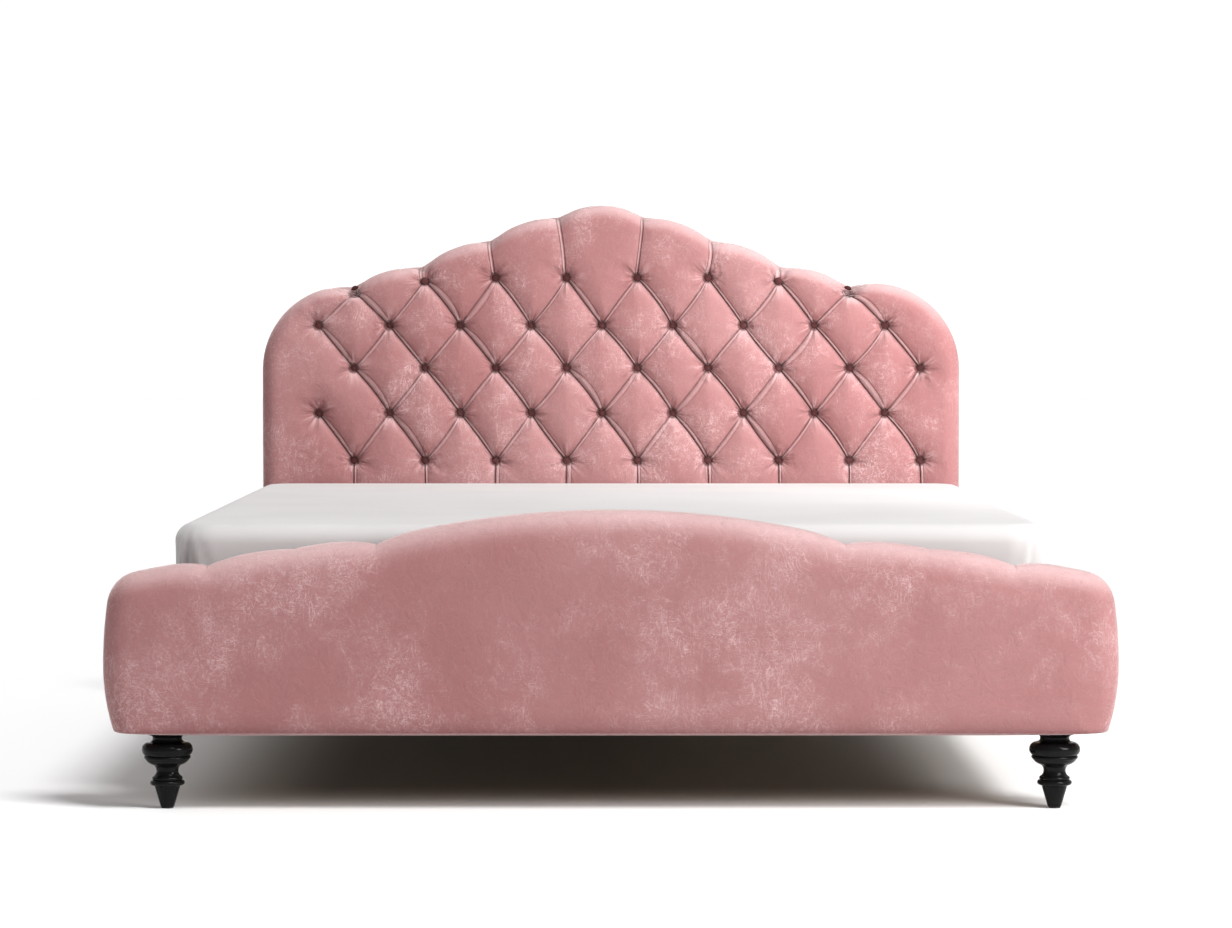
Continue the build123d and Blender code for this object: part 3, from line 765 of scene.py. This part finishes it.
# %% Buttons by Geometry Nodes
def dome(name, finish):
    """A button 20 mm across with a soft dome that faces -Y."""
    rim = [(0.0100, 0.0040), (0.0104, 0.0020), (0.0098, -0.0004), (0.0080, -0.0022), (0.0050, -0.0036),
           (0.0022, -0.0042)]
    sides = 20
    bm = bmesh.new()
    rings = [[bm.verts.new((r * math.cos(a), y, r * math.sin(a)))
              for a in (2 * math.pi * i / sides for i in range(sides))] for r, y in rim]
    for inner, outer in zip(rings, rings[1:]):
        for i in range(sides):
            j = (i + 1) % sides
            bm.faces.new((inner[i], inner[j], outer[j], outer[i]))
    bm.faces.new(rings[0])
    tip = bm.verts.new((0, -0.0044, 0))
    for i in range(sides):
        bm.faces.new((rings[-1][i], rings[-1][(i + 1) % sides], tip))
    bmesh.ops.recalc_face_normals(bm, faces=bm.faces)
    mesh = bpy.data.meshes.new(name)
    bm.to_mesh(mesh)
    bm.free()
    return new_object(name, mesh, finish)


def set_copies(name, places, pattern, finish, size=1.0):
    """A copy of pattern on every place and turn, made by a Geometry Nodes tree and baked to a mesh."""
    tree = bpy.data.node_groups.new(name + "_tree", "GeometryNodeTree")
    tree.interface.new_socket("Geometry", in_out="INPUT", socket_type="NodeSocketGeometry")
    pattern_in = tree.interface.new_socket("Pattern", in_out="INPUT", socket_type="NodeSocketObject")
    size_in = tree.interface.new_socket("Size", in_out="INPUT", socket_type="NodeSocketFloat")
    tree.interface.new_socket("Geometry", in_out="OUTPUT", socket_type="NodeSocketGeometry")
    source = tree.nodes.new("NodeGroupInput")
    result = tree.nodes.new("NodeGroupOutput")
    info = tree.nodes.new("GeometryNodeObjectInfo")
    turn = tree.nodes.new("GeometryNodeInputNamedAttribute")
    turn.data_type = "FLOAT_VECTOR"
    turn.inputs["Name"].default_value = "turn"
    place = tree.nodes.new("GeometryNodeInstanceOnPoints")
    real = tree.nodes.new("GeometryNodeRealizeInstances")
    paint = tree.nodes.new("GeometryNodeSetMaterial")
    paint.inputs["Material"].default_value = finish
    link = tree.links.new
    link(source.outputs["Pattern"], info.inputs["Object"])
    link(source.outputs["Geometry"], place.inputs["Points"])
    link(info.outputs["Geometry"], place.inputs["Instance"])
    link(turn.outputs["Attribute"], place.inputs["Rotation"])
    link(source.outputs["Size"], place.inputs["Scale"])
    link(place.outputs["Instances"], real.inputs["Geometry"])
    link(real.outputs["Geometry"], paint.inputs["Geometry"])
    link(paint.outputs["Geometry"], result.inputs["Geometry"])
    mesh = bpy.data.meshes.new(name)
    mesh.from_pydata([spot for spot, turned in places], [], [])
    carry(mesh, "turn", [turned for spot, turned in places])
    obj = bpy.data.objects.new(name, mesh)
    bpy.context.scene.collection.objects.link(obj)
    modifier = obj.modifiers.new("copies", "NODES")
    modifier.node_group = tree
    modifier[pattern_in.identifier] = pattern
    modifier[size_in.identifier] = size
    baked(obj)
    print(name, len(places), "copies")
    return obj


def surface_y(body, x, z, way):
    """Where a ray along Y at x and z first meets a body, coming from the foot (1) or the head (-1)."""
    hit, place = body.ray_cast((x, -way * 3, z), (0, way, 0))[:2]
    return place[1] if hit else None


bpy.context.view_layer.update()
button_pattern = dome("button_pattern", button_velvet)
BUTTON_LIFT = 0.0035
spots = [((x, surface_y(head_cushion, x, z, 1) - BUTTON_LIFT, z), (0, 0, 0)) for x, z in buttons.values()]
head_buttons = set_copies("headboard_button_domes", spots, button_pattern, button_velvet, size=1.1)
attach(head_buttons, "bed_frame")
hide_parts("headboard_buttons")
print("buttons sit", round((spots[20][0][1] - head_low[1]) * 1000), "mm behind the face")

# %% [markdown]
# ## The footboard
# The footboard is one long bolster: a board with foam all round, pulled tight in plain velvet. Its
# inner face is buttoned like the headboard, so only on top do a few folds come over the edge. The rail
# recess behind it is cut before the remesh.

# %% Footboard body
foot_low, foot_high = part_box("footboard_cover")
FOOT_HALF = foot_high[0]
FOOT_BOTTOM = foot_low[2]
FOOT_CROWN = foot_high[2]
SHOULDER = 0.499
OUTER_CREASE = FOOT_HALF - 0.200
MIDDLE_CREASE = FOOT_HALF - 0.372
INNER_CREASE = FOOT_HALF - 0.540
FOOT_BUTTON_Z = 0.41
FOOT_ROLL = 0.055
END_SWELL = 0.012


def footboard_outline():
    """The footboard's rim: right half from the bottom to the crown, then its mirror."""
    waist = (FOOT_HALF, FOOT_BOTTOM + 0.134)
    low, way = tangent_arc(waist, (0, -1), (FOOT_HALF - 0.021, FOOT_BOTTOM), 10)
    bulge, way = tangent_arc(waist, (0, 1), (FOOT_HALF - 0.009, SHOULDER - 0.080), 10)
    corner, way = tangent_arc(bulge[-1], way, (FOOT_HALF - 0.064, SHOULDER - 0.019), 10)
    shoulder, way = tangent_arc(corner[-1], way, (OUTER_CREASE, SHOULDER), 10)
    lobe = bowed((OUTER_CREASE, SHOULDER), (INNER_CREASE, SHOULDER + 0.044), -0.006, 12)
    arch, way = tangent_arc((0, FOOT_CROWN), (1, 0), (INNER_CREASE, SHOULDER + 0.044), 24)
    right = list(reversed(low)) + [waist] + bulge + corner + shoulder + lobe + list(reversed(arch[:-1]))
    return right + [(0, FOOT_CROWN)] + [(-x, z) for x, z in reversed(right)]


recess_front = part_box("footboard_lining")[0][1]
recess = cutter_box((-HALF - 0.007, recess_front, 0), (HALF + 0.007, 0, CUSHION_BOTTOM))
foot_cushion = slab("footboard_cushion", footboard_outline(), foot_low[1], foot_high[1], FOOT_ROLL, FOOT_ROLL,
                    footboard_velvet, recess)

# %% [markdown]
# ### Puffing it up
# Tight foam pushes the velvet out a little wherever nothing holds it. Blender's Cloth with inner
# pressure and no gravity does this; the movement is capped so that the bolster keeps its size.


# %% Cloth pressure
def puff(obj, pressure, cap, frames=12):
    """Swells a closed body by cloth pressure and keeps every point within cap of its start."""
    before, normals = read_points(obj.data)
    cloth = obj.modifiers.new("puff", "CLOTH")
    cloth.settings.quality = 4
    cloth.settings.mass = 0.3
    cloth.settings.use_pressure = True
    cloth.settings.uniform_pressure_force = pressure
    cloth.settings.effector_weights.gravity = 0
    cloth.settings.tension_stiffness = 25
    cloth.settings.compression_stiffness = 25
    cloth.settings.bending_stiffness = 4
    cloth.collision_settings.use_self_collision = False
    cloth.point_cache.frame_start = 1
    cloth.point_cache.frame_end = frames
    for number in range(1, frames + 1):
        bpy.context.scene.frame_set(number)
    baked(obj)
    bpy.context.scene.frame_set(1)
    after, normals = read_points(obj.data)
    shift = after - before
    size = np.linalg.norm(shift, axis=1)
    shift *= np.minimum(1, cap / np.maximum(size, 1e-9))[:, None]
    write_points(obj.data, before + shift)
    print(obj.name, "swelled by up to", round(float(size.max()) * 1000, 1), "mm, capped at", cap * 1000)


puff(foot_cushion, 0.9, 0.006)

# %% Folds over the footboard's top edge
points, normals = read_points(foot_cushion.data)
near_end = smoothstep(np.abs(points[:, 0]), FOOT_HALF - 0.095, FOOT_HALF - 0.035)
points[:, 0] += np.sign(points[:, 0]) * END_SWELL * near_end
inner_side = smoothstep(points[:, 1], foot_low[1] + 0.012, foot_low[1] + 0.075)
upper = smoothstep(points[:, 2], 0.40, 0.44)
dent = np.zeros(len(points))
for place, strength in ((OUTER_CREASE, 1.0), (MIDDLE_CREASE, 0.35), (INNER_CREASE, 1.0)):
    for side in (-1, 1):
        distance = np.abs(points[:, 0] - side * place)
        soft = np.clip(1 - distance / 0.10, 0, 1) ** 2.4
        dent = np.maximum(dent, strength * (0.011 * soft + 0.004 * np.exp(-(distance / 0.006) ** 2)))
foot_spots = [(side * place, FOOT_BUTTON_Z) for place in (OUTER_CREASE, MIDDLE_CREASE, INNER_CREASE)
              for side in (-1, 1)]
pit = np.zeros(len(points))
for x, z in foot_spots:
    distance = np.hypot(points[:, 0] - x, points[:, 2] - z)
    pit = np.maximum(pit, 0.026 * np.exp(-(distance / 0.03) ** 2))
inner_face = smoothstep(points[:, 1], foot_high[1] - 0.05, foot_high[1] - 0.03)
points -= normals * (dent * inner_side * upper + pit * inner_face)[:, None]
write_points(foot_cushion.data, points)
# Records for the painted shade and painted highlight, beside the bump, of the folds over the top edge.
record = np.zeros((len(points), 3))
for place in (OUTER_CREASE, INNER_CREASE):
    for side in (-1, 1):
        away = points[:, 0] - side * place
        close = np.abs(away) < 0.03
        fade = smoothstep(0.03 - np.abs(away), 0, 0.01) * inner_side * upper
        record[close] = np.stack([away, np.full(len(away), 0.007), 0.7 * fade], 1)[close]
carry(foot_cushion.data, "upright", record)
carry_painted_light_facing(foot_cushion.data)
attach(foot_cushion, "bed_frame")
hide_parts("footboard_cover", "footboard_foam")

bpy.context.view_layer.update()
spots = [((x, surface_y(foot_cushion, x, z, -1) - 0.001, z), (0, 0, math.pi)) for x, z in foot_spots]
foot_buttons = set_copies("footboard_button_domes", spots, button_pattern, button_velvet)
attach(foot_buttons, "bed_frame")
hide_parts("footboard_buttons")
bpy.data.objects.remove(button_pattern)

# %% [markdown]
# ## Side rails and lower wraps
# A rail is a board under a thin pad, so its velvet is nearly flat with soft edges and a slight crown.
# It is a small grid-like loft along Y: a closed section in x and z, repeated, with gentle unevenness.


# %% Rails
def padded_bar(name, low, high, corner, crown, way, finish):
    """A long upholstered bar along Y: a rounded section whose outer side (way) is slightly crowned."""
    centre = [(a + b) / 2 for a, b in zip(low, high)]
    half_x = (high[0] - low[0]) / 2 - corner
    half_z = (high[2] - low[2]) / 2 - corner
    section = []
    for sx, sz, first in ((1, 1, 0), (-1, 1, 90), (-1, -1, 180), (1, -1, 270)):
        for step in range(7):
            angle = math.radians(first + step * 15)
            section.append((sx * half_x + corner * math.cos(angle), sz * half_z + corner * math.sin(angle)))
    dense = []
    for (x0, z0), (x1, z1) in zip(section, section[1:] + section[:1]):
        pieces = max(1, round(math.hypot(x1 - x0, z1 - z0) / 0.012))
        dense += [(x0 + (x1 - x0) * i / pieces, z0 + (z1 - z0) * i / pieces) for i in range(pieces)]
    steps = max(2, round((high[1] - low[1]) / 0.02))
    rings = []
    for step in range(steps + 1):
        y = low[1] + (high[1] - low[1]) * step / steps
        ring = []
        for x, z in dense:
            outer = x * way > half_x * 0.9
            swell = crown * (1 - (z / (half_z + corner)) ** 2) - crown if outer else 0
            ease = 0.0005 * (math.sin(y * 23 + z * 31) + math.sin(y * 57 - z * 19) - 2) if outer else 0
            ring.append((centre[0] + x + way * (swell + ease), y, centre[2] + z))
        rings.append(ring)
    return loft(name, rings, finish)


for side, way in (("left", -1), ("right", 1)):
    low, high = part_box("rail_cover_" + side)
    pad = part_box("rail_foam_" + side)
    inner = pad[0][0] if way > 0 else pad[1][0]
    bar_low = [min(inner, way * HALF), low[1], low[2]]
    bar_high = [max(inner, way * HALF), high[1], high[2]]
    bar = padded_bar("rail_velvet_" + side, bar_low, bar_high, 0.0045, 0.002, way, plain_velvet)
    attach(bar, "bed_frame")
    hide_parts("rail_cover_" + side, "rail_foam_" + side)

for side, way in (("left", -1), ("right", 1)):
    edge = sorted((way * (HALF - 0.0195), way * HALF))
    wrap = padded_bar("headboard_wrap_" + side, (edge[0], board_front, head_low[2]),
                      (edge[1], head_high[1], CUSHION_BOTTOM + 0.004), 0.006, 0.001, way, plain_velvet)
    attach(wrap, "bed_frame")
print("rails and wraps done")

# %% [markdown]
# ## Mattress and fitted sheet
# A fitted sheet is one piece of cotton stretched over the mattress, with elastic below. It is smooth on
# top and on the long sides, and the spare cloth gathers at each corner in folds that fan out downwards.
# The shape is a rounded rectangle drawn up, over the edge and in to the middle, ring by ring.


# %% Sheet
def rounded_ring(half_x, half_y, corner, middle_y):
    """Points round a rounded rectangle with the outward direction and the place along each corner."""
    ring = []
    arc_steps = 22
    for number, (sx, sy) in enumerate(((1, 1), (-1, 1), (-1, -1), (1, -1))):
        centre = (sx * (half_x - corner), middle_y + sy * (half_y - corner))
        for step in range(arc_steps + 1):
            turn = step / arc_steps
            angle = math.radians(90 * (number + turn))
            way = (math.cos(angle), math.sin(angle))
            ring.append((centre[0] + corner * way[0], centre[1] + corner * way[1], way, number, turn))
        span = 2 * (half_x - corner) if number % 2 == 0 else 2 * (half_y - corner)
        last = ring[-1]
        along = (-last[2][1], last[2][0])
        pieces = 40
        for step in range(1, pieces):
            ease = 0.5 - 0.5 * math.cos(math.pi * step / pieces)
            gap = min(ease, 1 - ease) * span
            turn = 1 + gap / 0.14 if ease < 0.5 else -gap / 0.14
            home = number if ease < 0.5 else (number + 1) % 4
            x, y = last[0] + along[0] * span * ease, last[1] + along[1] * span * ease
            ring.append((x, y, last[2], home, turn))
    return ring


def fold_at(number, turn, drop):
    """How far a corner's gathered cloth stands out at a place round the corner and down the side."""
    if not -0.6 < turn < 1.6:
        return 0.0
    centre = 0.5 + 0.06 * math.sin(3 * number + 1)
    spread = 0.10 + 0.55 * drop
    reach = (turn - centre) / spread
    waves = math.cos(5.2 * reach + 1.3 * number) * math.exp(-0.9 * reach * reach)
    waves += 0.5 * math.cos(9.1 * reach + 2.1 * number) * math.exp(-1.6 * reach * reach)
    return 0.0055 * waves * min(1, drop * 3.2)


sheet_low, sheet_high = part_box("fitted_sheet")
half_x = sheet_high[0]
half_y = (sheet_high[1] - sheet_low[1]) / 2
middle_y = (sheet_high[1] + sheet_low[1]) / 2
EDGE = 0.038
CORNER = 0.090
levels = [(0.0, sheet_low[2] + (sheet_high[2] - EDGE - sheet_low[2]) * i / 10) for i in range(11)]
for step in range(1, 9):
    angle = math.radians(90 * step / 8)
    levels.append((EDGE * (1 - math.cos(angle)), sheet_high[2] - EDGE + EDGE * math.sin(angle)))
for inward in (0.05, 0.065, 0.085, 0.12, 0.18, 0.26, 0.36, 0.48, 0.60, 0.72, 0.82):
    levels.append((inward, sheet_high[2]))
rings = []
height = sheet_high[2] - sheet_low[2]
for inward, z in levels:
    ring = []
    corner = max(CORNER - inward, 0.012)
    for x, y, way, number, turn in rounded_ring(half_x - inward, half_y - inward, corner, middle_y):
        drop = max(0.0, (sheet_high[2] - z) / height)
        out = fold_at(number, turn, drop) - 0.0035 * min(1, drop * 2) - 0.006 * max(0.0, drop - 0.8) / 0.2
        swell = 0.0012 * math.sin(4.1 * x + 1.7) * math.sin(3.3 * y) if inward > EDGE else 0
        ring.append((x + way[0] * out, y + way[1] * out, z + swell - 0.0015))
    rings.append(ring)
sheet = loft("fitted_sheet_cloth", rings, finishes["sheet_cotton"], caps=(False, True))
wall = sheet.modifiers.new("cloth", "SOLIDIFY")
wall.thickness = 0.0012
wall.offset = -1
baked(sheet)
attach(sheet, "mattress")
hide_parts("fitted_sheet")

# %% Mattress under the sheet
core_low, core_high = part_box("mattress_core")
EDGE_IN = 0.034
core_levels = [(0.014, core_low[2]), (0.002, core_low[2] + 0.010), (0.0, core_low[2] + 0.022)]
core_levels += [(0.003, core_low[2] + 0.028), (0.0, core_low[2] + 0.034), (0.0, core_high[2] - 0.06)]
for step in range(1, 7):
    angle = math.radians(15 * step)
    fall = EDGE_IN * (1 - math.sin(angle))
    core_levels.append((EDGE_IN * (1 - math.cos(angle)), core_high[2] - 0.006 - fall))
rings = []
for inward, z in core_levels:
    ring = rounded_ring(half_x - 0.016 - inward, half_y - 0.016 - inward, 0.07, middle_y)
    rings.append([(x, y, z) for x, y, way, number, turn in ring])
ticking = loft("mattress_ticking_body", rings, finishes["mattress_ticking"])
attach(ticking, "mattress")
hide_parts("mattress_core")
print("mattress and sheet done")

# %% [markdown]
# ## Black cloth behind and under
# The back of a headboard is closed with a black non-woven cloth, pulled tight and stapled round its
# rim. Two smaller pieces close the foam under the slats. Each is a thin wavy grid, and the staples are
# copies of one bent wire that a Geometry Nodes tree sets round the edge.


# %% Stapled cloth
def top_line(outline):
    """The height of an outline's upper edge at any x."""
    upper = sorted((x, z) for x, z in outline if z > outline[0][1] + 1e-6)
    return lambda x: float(np.interp(x, [p[0] for p in upper], [p[1] for p in upper]))


def stapled_cloth(name, node, top, way):
    """A thin cloth over a node's own place that faces along way, with its rim stapled down."""
    low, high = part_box(node)
    y = high[1] if way > 0 else low[1]
    columns = round((high[0] - low[0]) / 0.02)
    rows = 40
    grid = []
    for i in range(columns + 1):
        x = low[0] + (high[0] - low[0]) * i / columns
        for j in range(rows + 1):
            z = low[2] + (top(x) - low[2]) * j / rows
            edge = min(i, columns - i, j, rows - j)
            wave = 0.0004 * (math.sin(19 * x + 3 * z) + math.sin(13 * z - 5 * x)) if edge > 1 else 0
            grid.append((x, y - way * (0.0009 + max(0, wave + 0.0002)), z))
    faces = []
    for i in range(columns):
        for j in range(rows):
            a = i * (rows + 1) + j
            quad = (a, a + rows + 1, a + rows + 2, a + 1)
            faces.append(quad if way < 0 else quad[::-1])
    mesh = bpy.data.meshes.new(name)
    mesh.from_pydata(grid, [], faces)
    cloth = new_object(name, mesh, finishes["lining_cloth"])
    wall = cloth.modifiers.new("thickness", "SOLIDIFY")
    wall.thickness = 0.0006
    wall.offset = -1
    baked(cloth)
    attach(cloth, "bed_frame")
    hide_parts(node)
    border = []
    for k in range(round((high[0] - low[0]) / 0.07)):
        x = low[0] + 0.03 + k * 0.07
        if x < high[0] - 0.02:
            border += [(x, low[2] + 0.008), (x, top(x) - 0.012)]
    for k in range(round((top(low[0] + 0.012) - low[2]) / 0.07)):
        z = low[2] + 0.04 + k * 0.07
        border += [(low[0] + 0.008, z), (high[0] - 0.008, z)]
    spread = np.random.default_rng(len(border))
    return cloth, [((x, y - way * 0.0004, z), (0, spread.uniform(-0.9, 0.9), 0)) for x, z in border]


staple_section = [(-0.0055, -0.0004), (0.0055, -0.0004), (0.0055, 0.0004), (-0.0055, 0.0004)]
staple = loft("staple", [[(x, y, z) for x, z in staple_section] for y in (-0.0005, 0.0005)],
              finishes["zinc_fastener"])
back_outline = inset(headboard_outline(), 0.010)
staples = []
back_top = top_line(back_outline)
for name, node, top, way, flat_size in (
        ("headboard_back_lining", "headboard_back_cloth", back_top, 1, (1.80, 1.13)),
        ("headboard_front_lining", "headboard_lining", None, -1, None),
        ("footboard_back_lining", "footboard_lining", None, 1, None)):
    low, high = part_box(node)
    level = high[2]
    cloth, places = stapled_cloth(name, node, top or (lambda x, level=level: level), way)
    staples += places
staple_rows = set_copies("lining_staples", staples, staple, finishes["zinc_fastener"])
bpy.data.objects.remove(staple)
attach(staple_rows, "bed_frame")

low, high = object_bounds()
print("visual box", [round(v, 4) for v in low], [round(v, 4) for v in high])
